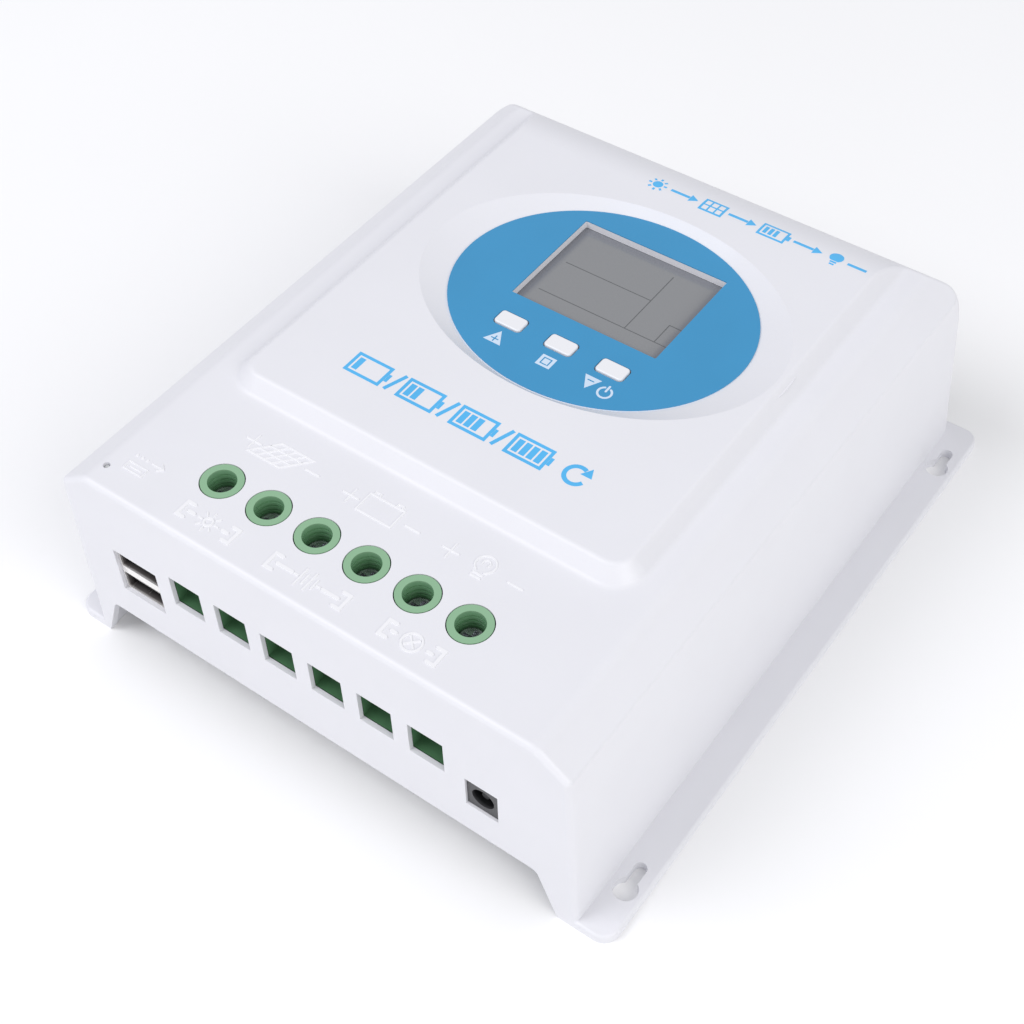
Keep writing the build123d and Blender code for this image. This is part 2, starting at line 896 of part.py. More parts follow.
def clamp_screws():
    radius, height, shank = clamp_screw
    low = clamp_bar_z()[1]
    head = (low, low + height)
    tip = plate_z[1] - clamp_screw_reach
    return joined(
        pan_screw(x, clamp_y, head, tip, radius, shank) for x in clamp_screw_places()
    )


# ---------------------------------------------------------------- main board
def main_board():
    board = block(around(0, board_half), board_y, board_z)
    for x, y in corners(standoff_x, standoff_y):
        board -= post(x, y, (board_z[0] - 1, board_z[1] + 1), board_hole_radius)
    return board


def capacitors():
    """Electrolytic capacitors, with a groove near the foot and a scored top."""
    cans = []
    foot = board_z[1]
    top = foot + capacitor_height
    groove = (foot + groove_z[0], foot + groove_z[1])
    score = (top - score_depth, top + 1)
    for x, y in capacitor_places:
        can = post(x, y, (foot, top), capacitor_radius)
        can = fillet(can.faces().sort_by(Axis.Z)[-1].edges(), capacitor_edge)
        ring = post(x, y, groove, capacitor_radius + 1)
        can -= ring - post(x, y, (foot, top), capacitor_radius - groove_depth)
        for size in (score_half, score_half[::-1]):
            can -= block(around(x, size[0]), around(y, size[1]), score)
        cans.append(can)
    return joined(cans)


def inductor():
    """A wound ring lying on the board, with the winding as ribs round it."""
    x, y = inductor_place
    middle = board_z[1] + inductor_height
    ring = Pos(x, y, middle) * Torus(*inductor_radii)
    for i in range(winding_turns):
        turn = Rot(0, 0, 360 / winding_turns * i) * Pos(inductor_radii[0], 0, 0)
        ring += Pos(x, y, middle) * turn * Rot(90, 0, 0) * Torus(*winding_radii)
    return ring + post(x, y, (board_z[1], middle), inductor_foot)


def blade_fuses():
    """Two blade fuses, each a moulded head over two blades that stand on the board."""
    fuses = []
    foot = board_z[1]
    head = (foot + fuse_z[0], foot + fuse_z[1])
    notch = (head[1] - fuse_notch[1], head[1] + 1)
    for x, y in fuse_places:
        fuse = block(around(x, fuse_half[0]), around(y, fuse_half[1]), head)
        fuse -= block(around(x, fuse_notch[0]), around(y, fuse_half[1] + 1), notch)
        for side in (-blade_place, blade_place):
            blade = around(x + side, blade_half[0])
            fuse += block(blade, around(y, blade_half[1]), (foot, head[0]))
        fuses.append(fuse)
    return joined(fuses)


def current_shunts():
    """Two bent metal strips that measure the current."""
    strips = []
    foot = board_z[1]
    under = foot + shunt_height - shunt_thick
    for x, y in shunt_places:
        strip = block(
            around(x, shunt_half[0]), around(y, shunt_half[1]), (foot, foot + shunt_height)
        )
        span = around(x, shunt_half[0] - shunt_thick)
        strip -= block(span, around(y, shunt_half[1] + 1), (foot - 1, under))
        strips.append(strip)
    return joined(strips)


def control_chips():
    """The controller and two regulators, soldered flat on the main board."""
    foot = board_z[1]
    controller = block(
        around(0, controller_half),
        around(controller_y, controller_half),
        (foot, foot + controller_height),
    )
    chips = [controller]
    height = (foot, foot + regulator_height)
    for x, y in regulator_places:
        chips.append(
            block(around(x, regulator_half[0]), around(y, regulator_half[1]), height)
        )
    return joined(chips)


def headers():
    """The ribbon sockets, one on the main board and one under the display board."""
    x, y = header_place
    along = around(y, header_half[1])
    low_z = (board_z[1], board_z[1] + header_height)
    high_z = (display_board_z[0] - header_height, display_board_z[0])
    low = block(around(x, header_half[0]), along, low_z)
    high = block(around(upper_header_x, header_half[0]), along, high_z)
    return joined([low, high])


def display_ribbon():
    """The flat ribbon between the two sockets: up, over in a slack bend, and up again."""
    x, y = header_place
    low_z = board_z[1] + header_height
    high_z = display_board_z[0] - header_height
    route = [
        (x, low_z),
        (x, low_z + ribbon_rise[0]),
        (x - ribbon_lean, low_z + ribbon_rise[1]),
        (upper_header_x, high_z - ribbon_drop),
        (upper_header_x, high_z),
    ]
    path = FilletPolyline(*route, radius=ribbon_bend)
    strip = Plane.XZ * trace(path, ribbon_thick)
    return Pos(0, y, 0) * extrude(strip, ribbon_half, both=True)


def build_all():
    os.makedirs("parts", exist_ok=True)
    glass, guide, frame = display_module()
    parts = {
        "cover": cover(),
        "heat_sink": heat_sink(),
        "base_screws": base_screws(),
        "display_film": display_film(),
        "display_glass": glass,
        "display_light_guide": guide,
        "display_frame": frame,
        "display_board": display_board(),
        "display_screws": display_screws(),
        "key_switches": key_switches(),
        "usb_shell": usb_shell(),
        "usb_tongues": usb_tongues(),
        "usb_contacts": usb_contacts(),
        "jack_body": jack_body(),
        "jack_pin": jack_pin(),
        "status_led": status_led(),
        "light_pipe": light_pipe(),
        "main_board": main_board(),
        "board_standoffs": standoffs(),
        "board_screws": board_screws(),
        "power_transistors": transistors(),
        "thermal_pad": thermal_pad(),
        "clamp_bar": clamp_bar(),
        "clamp_screws": clamp_screws(),
        "capacitors": capacitors(),
        "inductor": inductor(),
        "blade_fuses": blade_fuses(),
        "current_shunts": current_shunts(),
        "control_chips": control_chips(),
        "ribbon_sockets": headers(),
        "display_ribbon": display_ribbon(),
    }
    for name, x in zip(key_names, key_places()):
        parts[f"key_{name}"] = key_cap(x)
        parts[f"key_plunger_{name}"] = key_plunger(x)
    contacts = []
    for number, x in enumerate(terminal_places(), start=1):
        parts[f"terminal_housing_{number}"] = terminal_housing(x)
        parts[f"terminal_screw_{number}"] = terminal_screw(x)
        parts[f"terminal_cage_{number}"] = terminal_cage(x)
        contacts.append(terminal_contact(x))
    parts["terminal_contacts"] = joined(contacts)
    for name, shape in parts.items():
        export_step(shape, f"parts/{name}.step")


build_all()
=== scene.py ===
import math

import bmesh
import bpy
from mathutils import Matrix, Vector
from mathutils.bvhtree import BVHTree


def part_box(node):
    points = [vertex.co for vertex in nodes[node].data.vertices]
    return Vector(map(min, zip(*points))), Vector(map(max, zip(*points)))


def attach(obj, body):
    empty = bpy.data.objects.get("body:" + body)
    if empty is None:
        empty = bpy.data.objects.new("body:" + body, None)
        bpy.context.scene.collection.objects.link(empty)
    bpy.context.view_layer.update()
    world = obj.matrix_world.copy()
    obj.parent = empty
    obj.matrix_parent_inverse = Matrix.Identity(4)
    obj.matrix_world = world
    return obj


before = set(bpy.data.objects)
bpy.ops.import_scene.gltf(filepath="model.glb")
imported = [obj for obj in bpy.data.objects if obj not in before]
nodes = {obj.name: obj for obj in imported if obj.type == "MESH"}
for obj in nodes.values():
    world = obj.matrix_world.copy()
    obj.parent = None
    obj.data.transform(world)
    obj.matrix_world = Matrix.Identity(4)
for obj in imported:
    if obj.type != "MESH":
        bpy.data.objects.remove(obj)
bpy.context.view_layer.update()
scene = bpy.context.scene
MM = 0.001
ROOT = "case"

# ------------------------------------------------------------------ places read from the frame
cover = nodes["cover"]
cover_low, cover_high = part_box("cover")
FRONT = cover_low.y
cover_tree = BVHTree.FromObject(cover, bpy.context.evaluated_depsgraph_get())


def middle(node):
    """Centre of a CAD node's box."""
    low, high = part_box(node)
    return (low + high) / 2


def spot(x, y):
    """A point given in millimetres: x from the middle, y from the front face."""
    return Vector((x * MM, FRONT + y * MM))


def height(x, y):
    """Height of the cover's outer surface at a place."""
    hit = cover_tree.ray_cast(Vector((x, y, cover_high.z + 0.01)), Vector((0, 0, -1)))
    return hit[0].z if hit[0] else cover_high.z


# ------------------------------------------------------------------ materials
FINE_DETAIL = 2.0  # octaves of noise in relief and gloss
SOFT_DETAIL = 3.0  # octaves of noise in colour
DRIFT_SCALE = 300  # noise scale and share of the drift in colours that change along an axis
DRIFT_SHARE = 0.05


class Paint:
    """A node-built material: a shader and a few helpers that wire textures to it."""

    def __init__(self, name, color, roughness, metallic=0.0):
        self.material = bpy.data.materials.new(name)
        self.material.use_nodes = True
        self.tree = self.material.node_tree
        self.shader = self.tree.nodes["Principled BSDF"]
        self.color = color
        self.set("Base Color", (*color, 1))
        self.set("Roughness", roughness)
        self.set("Metallic", metallic)

    def set(self, socket, value):
        """A constant on one of the shader's sockets."""
        self.shader.inputs[socket].default_value = value
        return self

    def node(self, kind, **values):
        """A new node; each value goes to its property, or else to its input."""
        made = self.tree.nodes.new(kind)
        for key, value in values.items():
            if hasattr(made, key):
                setattr(made, key, value)
            else:
                made.inputs[key.replace("_", " ")].default_value = value
        return made

    def link(self, out, into):
        self.tree.links.new(out, into)

    def place(self, stretch=(1, 1, 1)):
        """Object coordinates, stretched."""
        coords = self.node("ShaderNodeTexCoord")
        mapping = self.node("ShaderNodeMapping")
        mapping.inputs["Scale"].default_value = stretch
        self.link(coords.outputs["Object"], mapping.inputs["Vector"])
        return mapping.outputs["Vector"]

    def axes(self):
        """Object coordinates, split into X, Y and Z."""
        coords = self.node("ShaderNodeTexCoord")
        split = self.node("ShaderNodeSeparateXYZ")
        self.link(coords.outputs["Object"], split.inputs["Vector"])
        return split.outputs

    def noise(self, scale, detail, stretch=(1, 1, 1)):
        made = self.node("ShaderNodeTexNoise", Scale=scale, Detail=detail)
        self.link(self.place(stretch), made.inputs["Vector"])
        return made.outputs["Fac"]

    def ramp(self, fac, stops):
        """A colour ramp over fac, from (position, colour) stops."""
        made = self.node("ShaderNodeValToRGB")
        elements = made.color_ramp.elements
        while len(elements) < len(stops):
            elements.new(0.5)
        for element, (position, color) in zip(elements, stops):
            element.position = position
            element.color = (*color, 1)
        self.link(fac, made.inputs["Fac"])
        return made.outputs["Color"]

    def mottle(self, scale, amount, stretch=(1, 1, 1)):
        """The base colour drifts a little lighter and darker."""
        low = [c * (1 - amount) for c in self.color]
        high = [min(1.0, c * (1 + amount)) for c in self.color]
        noise = self.noise(scale, SOFT_DETAIL, stretch)
        color = self.ramp(noise, ((0.35, low), (0.65, high)))
        self.link(color, self.shader.inputs["Base Color"])
        return self

    def along(self, axis, start, end, stops):
        """The base colour changes between two places on an axis, in metres, with some drift."""
        spread = self.node("ShaderNodeMapRange")
        spread.inputs["From Min"].default_value = start
        spread.inputs["From Max"].default_value = end
        self.link(self.axes()[axis], spread.inputs["Value"])
        drift = self.node("ShaderNodeMath", operation="MULTIPLY_ADD")
        drift.inputs[1].default_value = DRIFT_SHARE
        self.link(self.noise(DRIFT_SCALE, SOFT_DETAIL), drift.inputs[0])
        self.link(spread.outputs["Result"], drift.inputs[2])
        color = self.ramp(drift.outputs[0], stops)
        self.link(color, self.shader.inputs["Base Color"])
        return self

    def gloss(self, scale, low, high, stretch=(1, 1, 1)):
        """Roughness that varies between two values."""
        spread = self.node("ShaderNodeMapRange")
        spread.inputs["To Min"].default_value = low
        spread.inputs["To Max"].default_value = high
        self.link(self.noise(scale, FINE_DETAIL, stretch), spread.inputs["Value"])
        self.link(spread.outputs["Result"], self.shader.inputs["Roughness"])
        return self

    def grain(self, scale, depth, stretch=(1, 1, 1)):
        """Fine relief of the given depth in metres."""
        bump = self.node("ShaderNodeBump", Strength=1.0, Distance=depth)
        self.link(self.noise(scale, FINE_DETAIL, stretch), bump.inputs["Height"])
        self.link(bump.outputs["Normal"], self.shader.inputs["Normal"])
        return self


def moulded(name, color, roughness=0.5, drift=0.02, grain=0.000012, size=2600):
    """Moulded plastic with a fine spark-eroded grain; drift 0 leaves the colour unmottled."""
    paint = Paint(name, color, roughness)
    if drift:
        paint.mottle(45, drift)
    return paint.gloss(70, roughness - 0.06, roughness + 0.06).grain(size, grain)


def metal(name, color, roughness=0.3, stretch=(1, 1, 1), grain=0.00001, size=900, drift=0.06):
    """Bare or plated metal with scratches along one direction; drift 0 as for plastic."""
    paint = Paint(name, color, roughness, 1.0)
    if drift:
        paint.mottle(size / 4, drift, stretch)
    paint.gloss(size, roughness - 0.08, roughness + 0.12, stretch)
    return paint.grain(size, grain, stretch)


COVER_COLOR = (0.80, 0.80, 0.835)
white = moulded("cover_white", COVER_COLOR, 0.42, 0.006, 0.000006, 3200)
white.set("Subsurface Weight", 0.05).set("Subsurface Radius", (0.002, 0.002, 0.0022))
# the raised marks are the cover's own plastic, painted lighter than it as a painted highlight
# on the relief
raised = moulded("raised_marks_white", (0.88, 0.88, 0.90), 0.36, 0.006, 0.000004, 3200)
film_blue = moulded("film_blue", (0.042, 0.29, 0.55), 0.34, 0.02, 0.000003, 2400)
film_blue.set("Coat Weight", 0.15).set("Coat Roughness", 0.35)
print_blue = moulded("print_blue", (0.09, 0.47, 0.85), 0.4, 0.03, 0.000002, 4000)
print_pale = moulded("print_pale", (0.62, 0.74, 0.88), 0.4, 0.03, 0.000002, 4000)

# colours that darken with depth, as painted shade: keys below the film, terminal wells, jack
# and USB ports; the USB shell's front edge gets a painted highlight
KEY_COLOR = (0.84, 0.845, 0.87)
KEY_GAP_SHADE_DEPTH = 1.0 * MM
WELL_SHADE_DEPTH = 9 * MM
JACK_SHADE_DEPTH = 2 * MM
PORT_SHADE_DEPTH = 7 * MM
key_white = moulded("key_white", KEY_COLOR, 0.34, 0, 0.000003, 3000)
film_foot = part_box("display_film")[0].z
# painted shade: the keys' sides darken to near black below the film, in the gaps around them
key_white.along(
    "Z", film_foot - KEY_GAP_SHADE_DEPTH, film_foot, ((0.0, (0.05, 0.05, 0.055)), (0.9, KEY_COLOR))
)
green = moulded("terminal_green", (0.26, 0.46, 0.29), 0.45, 0, 0.00001, 2600)
collar_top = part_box("terminal_housing_1")[1].z
# painted shade: the green darkens with depth down into the terminal wells
green.along(
    "Z",
    collar_top - WELL_SHADE_DEPTH,
    collar_top,
    (
        (0.0, (0.075, 0.19, 0.09)),
        (0.55, (0.12, 0.29, 0.14)),
        (0.97, (0.21, 0.42, 0.24)),
        (1.0, (0.27, 0.47, 0.29)),
    ),
)
jack_grey = moulded("jack_grey", (0.10, 0.10, 0.107), 0.42, 0, 0.000012, 2200)
jack_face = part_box("jack_body")[0].y
# painted shade: the grey darkens to near black deeper into the jack
jack_grey.along(
    "Y",
    jack_face,
    jack_face + JACK_SHADE_DEPTH,
    ((0.12, (0.05, 0.05, 0.054)), (0.5, (0.006, 0.006, 0.007))),
)
nickel = metal("nickel_shell", (0.68, 0.64, 0.62), 0.22, (1, 0.15, 1), 0.000008, 800, 0)
port_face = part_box("usb_shell")[0].y
# painted highlight on the shell's front edge, then painted shade that deepens into the ports
nickel.along(
    "Y",
    port_face,
    port_face + PORT_SHADE_DEPTH,
    ((0.06, (0.92, 0.90, 0.88)), (0.13, (0.25, 0.23, 0.225)), (0.4, (0.02, 0.018, 0.018))),
)
nickel.set("Metallic", 0.6)

board_green = moulded("board_green", (0.02, 0.16, 0.06), 0.3, 0.15, 0.00002, 500)
black = moulded("black_resin", (0.02, 0.02, 0.022), 0.5, 0.2, 0.00002, 1800)
ivory = moulded("socket_ivory", (0.62, 0.58, 0.48), 0.5, 0.05)
pale_plastic = moulded("frame_pale", (0.7, 0.7, 0.73), 0.45, 0.02)
tongue_dark = moulded("tongue_dark", (0.03, 0.03, 0.032), 0.4, 0.1)
pad_grey = moulded("pad_grey", (0.35, 0.37, 0.4), 0.8, 0.05, 0.00003, 900)
sleeve = moulded("capacitor_sleeve", (0.025, 0.03, 0.06), 0.3, 0.15, 0.00001, 400)
copper = metal("coil_copper", (0.72, 0.3, 0.14), 0.28)
amber = moulded("fuse_amber", (0.75, 0.2, 0.03), 0.25, 0.08, 0.00001, 900)
vinyl = moulded("ribbon_vinyl", (0.3, 0.31, 0.33), 0.55, 0.05)
plunger_brown = moulded("plunger_brown", (0.08, 0.06, 0.05), 0.45, 0.1)
aluminium = metal("sink_aluminium", (0.66, 0.67, 0.69), 0.38, (1, 0.02, 1), 0.00002, 700)
zinc = metal("plated_steel", (0.72, 0.73, 0.75), 0.26, (1, 1, 1), 0.00001, 1100, 0.12)
steel = metal("plain_steel", (0.5, 0.5, 0.51), 0.38, (0.05, 1, 1))
# the pin's steel is painted near black, as painted shade deep inside the jack
shaded_pin_steel = metal("jack_pin_steel", (0.02, 0.02, 0.022), 0.35, (1, 0.1, 1))
brass = metal("turned_brass", (0.8, 0.6, 0.28), 0.3, (1, 1, 0.1))
tin = metal("tinned_contact", (0.78, 0.74, 0.62), 0.3, (1, 0.1, 1))
screw_zinc = metal("clamp_screw_zinc", (0.5, 0.51, 0.53), 0.25, (1, 1, 1), 0.00001, 1100, 0.1)
screw_zinc.set("Metallic", 0.9)
shunt_metal = metal("shunt_alloy", (0.5, 0.44, 0.4), 0.4, (0.1, 1, 1))

clear = Paint("light_pipe_clear", (0.86, 0.88, 0.88), 0.12)
clear.set("Transmission Weight", 0.3).set("IOR", 1.49)
clear.gloss(300, 0.08, 0.2)
lamp = Paint("lamp_resin", (0.75, 0.78, 0.7), 0.2)
lamp.set("Transmission Weight", 0.3)
lamp.mottle(500, 0.05)
guide = moulded("light_guide_milky", (0.55, 0.57, 0.56), 0.4, 0.03)


GLASS_HALVES = (("X", 22.6 * MM), ("Y", 17.7 * MM))  # half sizes of the part that shows
GLASS_RIM_SHADE = (3.4 * MM, 1.2 * MM)  # the painted rim shade starts and ends this far inside
GLASS_DRIFT_SCALE = 900
GLASS_DRIFT_SHARE = 0.06


def glass_material():
    """The display's face: grey, a little darker and bluer towards its rim, as painted shade
    from the window's walls.
    """
    paint = Paint("display_grey", (0.26, 0.27, 0.275), 0.22)
    centre = middle("display_glass")
    split = paint.axes()
    edge = None
    for axis, half in GLASS_HALVES:
        shift = paint.node("ShaderNodeMath", operation="SUBTRACT")
        shift.inputs[1].default_value = getattr(centre, axis.lower())
        paint.link(split[axis], shift.inputs[0])
        far = paint.node("ShaderNodeMath", operation="ABSOLUTE")
        paint.link(shift.outputs[0], far.inputs[0])
        near = paint.node("ShaderNodeMapRange", interpolation_type="SMOOTHSTEP")
        near.inputs["From Min"].default_value = half - GLASS_RIM_SHADE[0]
        near.inputs["From Max"].default_value = half - GLASS_RIM_SHADE[1]
        paint.link(far.outputs[0], near.inputs["Value"])
        if edge is None:
            edge = near.outputs["Result"]
        else:
            both = paint.node("ShaderNodeMath", operation="MAXIMUM")
            paint.link(edge, both.inputs[0])
            paint.link(near.outputs["Result"], both.inputs[1])
            edge = both.outputs[0]
    fine = paint.noise(GLASS_DRIFT_SCALE, FINE_DETAIL)
    mix = paint.node("ShaderNodeMath", operation="MULTIPLY_ADD")
    mix.inputs[1].default_value = GLASS_DRIFT_SHARE
    paint.link(fine, mix.inputs[0])
    paint.link(edge, mix.inputs[2])
    # from the clear middle to the painted shade at the rim
    color = paint.ramp(
        mix.outputs[0], ((0.0, (0.252, 0.257, 0.264)), (1.0, (0.195, 0.202, 0.225)))
    )
    paint.link(color, paint.shader.inputs["Base Color"])
    paint.set("Coat Weight", 0.5).set("Coat Roughness", 0.08)
    return paint


display_grey = glass_material()
display_line = moulded("display_line", (0.125, 0.13, 0.135), 0.3, 0.02, 0.000001, 3000)

LOOKS = {
    "cover": white,
    "heat_sink": aluminium,
    "base_screws": zinc,
    "display_film": film_blue,
    "display_glass": display_grey,
    "display_light_guide": guide,
    "display_frame": pale_plastic,
    "display_board": board_green,
    "display_screws": zinc,
    "key_switches": black,
    "usb_shell": nickel,
    "usb_tongues": tongue_dark,
    "usb_contacts": tin,
    "jack_body": jack_grey,
    "jack_pin": shaded_pin_steel,
    "status_led": lamp,
    "light_pipe": clear,
    "main_board": board_green,
    "board_standoffs": brass,
    "board_screws": zinc,
    "power_transistors": black,
    "thermal_pad": pad_grey,
    "clamp_bar": steel,
    "clamp_screws": zinc,
    "capacitors": sleeve,
    "inductor": copper,
    "blade_fuses": amber,
    "current_shunts": shunt_metal,
    "control_chips": black,
    "ribbon_sockets": ivory,
    "display_ribbon": vinyl,
    "terminal_contacts": tin,
}
FAMILIES = {
    "terminal_housing": green,
    "terminal_screw": screw_zinc,
    "terminal_cage": zinc,
    "key_plunger": plunger_brown,
    "key": key_white,
}


def look_of(name):
    """The material of a CAD node, by its name or by its family's name."""
    if name in LOOKS:
        return LOOKS[name]
    for family, paint in FAMILIES.items():
        if name.startswith(family + "_"):
            return paint
    raise ValueError(name)


for name, node in nodes.items():
    node.data.materials.clear()
    node.data.materials.append(look_of(name).material)


# ------------------------------------------------------------------ printed and raised marks
PATH_STEP = 1.2 * MM  # longest run of a stroke between two rows of vertices
SLICE_STEP = 0.6 * MM  # spacing of the cuts that let a mark follow a curved surface
STROKE_RISE = 0.03  # crossing strokes differ in height by this share, in a cycle of
STROKE_CYCLE = 5
NARROWEST = 0.4  # a stroke's top is at least this share of its width
SHARPEST = 0.45  # limits how far a sharp corner is stretched
ROUND_END = (0.5, 1.0, 1.35)  # angles in radians of the rows that narrow an end


class Marks:
    """Thin solids that lie on a surface: strokes and filled shapes, drawn in the plan view.
    """

    def __init__(self, surface, low, high, edge=0.0, curved=False):
        self.mesh = bmesh.new()
        self.curved = curved
        self.surface = surface
        self.low = low
        self.high = high
        self.edge = edge
        self.strokes = 0

    def vertex(self, point, lift):
        return self.mesh.verts.new((point.x, point.y, lift))

    def stroke(self, points, width, closed=False, round_ends=True):
        """A line of constant width through the points, a list of plan vectors."""
        path = self.divided(points, closed)
        halves = [width / 2] * len(path)
        if round_ends and not closed:
            path, halves = self.with_round_ends(path, width / 2)
        rows = []
        count = len(path)
        # crossing strokes differ a little in height, so that no two faces coincide
        high = self.high * (1 + STROKE_RISE * (self.strokes % STROKE_CYCLE))
        self.strokes += 1
        for i, (point, half) in enumerate(zip(path, halves)):
            before = path[i - 1] if closed or i else None
            after = path[(i + 1) % count] if closed or i < count - 1 else None
            side = self.side(point, before, after)
            inner = max(half - self.edge, half * NARROWEST)
            rows.append(
                (
                    self.vertex(point + side * half, self.low),
                    self.vertex(point - side * half, self.low),
                    self.vertex(point - side * inner, high),
                    self.vertex(point + side * inner, high),
                )
            )
        pairs = list(zip(rows, rows[1:]))
        if closed:
            pairs.append((rows[-1], rows[0]))
        for one, two in pairs:
            for k in range(4):
                nxt = (k + 1) % 4
                self.mesh.faces.new((one[k], one[nxt], two[nxt], two[k]))
        if not closed:
            self.mesh.faces.new(rows[0])
            self.mesh.faces.new(rows[-1][::-1])

    def divided(self, points, closed):
        """The path with extra points on its long runs, so that it follows a curved surface."""
        path = []
        ends = list(zip(points, points[1:]))
        if closed:
            ends.append((points[-1], points[0]))
        for one, two in ends:
            parts = max(1, math.ceil((two - one).length / PATH_STEP))
            path += [one.lerp(two, i / parts) for i in range(parts)]
        if not closed:
            path.append(points[-1])
        return path

    def with_round_ends(self, path, half):
        """Adds narrowing rows beyond both ends."""
        widths = [(half * math.sin(t), half * math.cos(t)) for t in ROUND_END]
        first = (path[0] - path[1]).normalized()
        last = (path[-1] - path[-2]).normalized()
        start = [(path[0] + first * out, wide) for out, wide in widths][::-1]
        end = [(path[-1] + last * out, wide) for out, wide in widths]
        rows = start + [(p, half) for p in path] + end
        return [p for p, _ in rows], [w for _, w in rows]

    def side(self, point, before, after):
        """Unit-width offset at a point of a path, stretched at corners."""
        ahead = (after - point).normalized() if after is not None else None
        behind = (point - before).normalized() if before is not None else None
        if ahead is None or behind is None:
            way = ahead if ahead is not None else behind
            return Vector((-way.y, way.x))
        way = (ahead + behind).normalized()
        normal = Vector((-way.y, way.x))
        across = Vector((-ahead.y, ahead.x))
        return normal / max(normal.dot(across), SHARPEST)

    def fill(self, outline):
        """A filled shape with the given outline, listed anticlockwise."""
        middle_point = sum(outline, Vector((0, 0))) / len(outline)
        low = [self.vertex(p, self.low) for p in outline]
        high = []
        for p in outline:
            inward = middle_point - p
            high.append(self.vertex(p + inward.normalized() * self.edge, self.high))
        count = len(outline)
        for i in range(count):
            nxt = (i + 1) % count
            self.mesh.faces.new((low[i], low[nxt], high[nxt], high[i]))
        self.mesh.faces.new(low[::-1])
        self.mesh.faces.new(high)

    def slice_across(self):
        """Cuts across the depth, so that wide faces can follow a surface that falls away."""
        last = max(v.co.y for v in self.mesh.verts)
        y = min(v.co.y for v in self.mesh.verts) + SLICE_STEP
        while y < last:
            everything = self.mesh.verts[:] + self.mesh.edges[:] + self.mesh.faces[:]
            bmesh.ops.bisect_plane(
                self.mesh, geom=everything, plane_co=(0, y, 0), plane_no=(0, 1, 0)
            )
            y += SLICE_STEP

    def finish(self, name, paint):
        """Lays the marks on the surface as one piece that rides on the case."""
        if self.curved:
            self.slice_across()
        for vert in self.mesh.verts:
            vert.co.z += self.surface(vert.co.x, vert.co.y)
        bmesh.ops.recalc_face_normals(self.mesh, faces=self.mesh.faces)
        data = bpy.data.meshes.new(name)
        self.mesh.to_mesh(data)
        self.mesh.free()
        piece = bpy.data.objects.new(name, data)
        scene.collection.objects.link(piece)
        data.materials.append(paint.material)
        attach(piece, ROOT)


def arc(centre, radius, start, end, count):
    """Points on an arc, angles in degrees, radius in metres."""
    turns = [math.radians(start + (end - start) * i / count) for i in range(count + 1)]
    return [centre + Vector((math.cos(t), math.sin(t))) * radius for t in turns]


def circle(centre, radius, count):
    return arc(centre, radius, 0, 360, count)[:-1]


def box_outline(centre, width, depth):
    """A rectangle's outline, anticlockwise."""
    sides = ((1, 1), (-1, 1), (-1, -1), (1, -1))
    return [centre + Vector((sx * width / 2, sy * depth / 2)) for sx, sy in sides]


def minus(marks, centre, size, width):
    way = Vector((size / 2, 0))
    marks.stroke([centre - way, centre + way], width)


def plus(marks, centre, size, width):
    minus(marks, centre, size, width)
    way = Vector((0, size / 2))
    marks.stroke([centre - way, centre + way], width)


def offset(x, y):
    """A plan vector given in millimetres."""
    return Vector((x * MM, y * MM))


# ------------------------------------------------------------------ raised marks on the deck
RAISED_WIDTH = 0.62 * MM
RAISED_LOW = -0.05 * MM
RAISED_HIGH = 0.25 * MM
RAISED_EDGE = 0.16 * MM


def panel_mark(marks, centre):
    """A tilted solar panel: a slanted grid."""
    across = offset(10.2, 0)
    up = offset(5.6, 6.4)
    corner = centre - (across + up) / 2
    rim = [corner, corner + across, corner + across + up, corner + up]
    marks.stroke(rim, RAISED_WIDTH, closed=True)
    for i in (1, 2, 3):
        foot = corner + across * (i / 4)
        marks.stroke([foot, foot + up], RAISED_WIDTH * 0.8, round_ends=False)
    for i in (1, 2):
        side = corner + up * (i / 3)
        marks.stroke([side, side + across], RAISED_WIDTH * 0.8, round_ends=False)


def battery_mark(marks, centre):
    """A battery seen from the side, with two poles on top."""
    marks.stroke(box_outline(centre, 10.4 * MM, 5.8 * MM), RAISED_WIDTH, closed=True)
    for side in (-3.5, 3.3):
        foot = centre + offset(side, 2.9)
        half = offset(0.8, 0)
        top = offset(0, 1.1)
        corners = [foot - half, foot - half + top, foot + half + top, foot + half]
        marks.stroke(corners, RAISED_WIDTH * 0.9, round_ends=False)


def lamp_mark(marks, centre):
    """A light bulb with its filament and base."""
    hub = centre + offset(0, 1.0)
    marks.stroke(arc(hub, 2.6 * MM, -62, 242, 22), RAISED_WIDTH)
    marks.stroke(arc(hub + offset(0, 0.3), 1.0 * MM, -30, 210, 12), RAISED_WIDTH * 0.8)
    for drop in (-2.2, -3.2):
        half = offset(1.2, 0)
        base = centre + offset(0, drop)
        marks.stroke([base - half, base + half], RAISED_WIDTH)


def deck_marks(marks):
    """A plus, a sign of what is connected and a minus behind each pair of terminals."""
    rows = (
        ((-40.7, 33.4), (-32.1, 33.4), (-22.1, 33.5), panel_mark),
        ((-9.8, 33.3), (-1.0, 33.6), (8.9, 33.3), battery_mark),
        ((20.2, 33.4), (29.4, 33.6), (38.6, 33.4), lamp_mark),
    )
    for first, centre, last, draw in rows:
        plus(marks, spot(*first), 4.4 * MM, RAISED_WIDTH)
        draw(marks, spot(*centre))
        minus(marks, spot(*last), 3.8 * MM, RAISED_WIDTH)


def sun_sign(marks, centre):
    marks.stroke(circle(centre, 1.15 * MM, 20), RAISED_WIDTH * 1.2, closed=True)
    for i in range(8):
        t = math.radians(45 * i)
        way = Vector((math.cos(t), math.sin(t)))
        marks.stroke([centre + way * 2.1 * MM, centre + way * 2.9 * MM], RAISED_WIDTH)


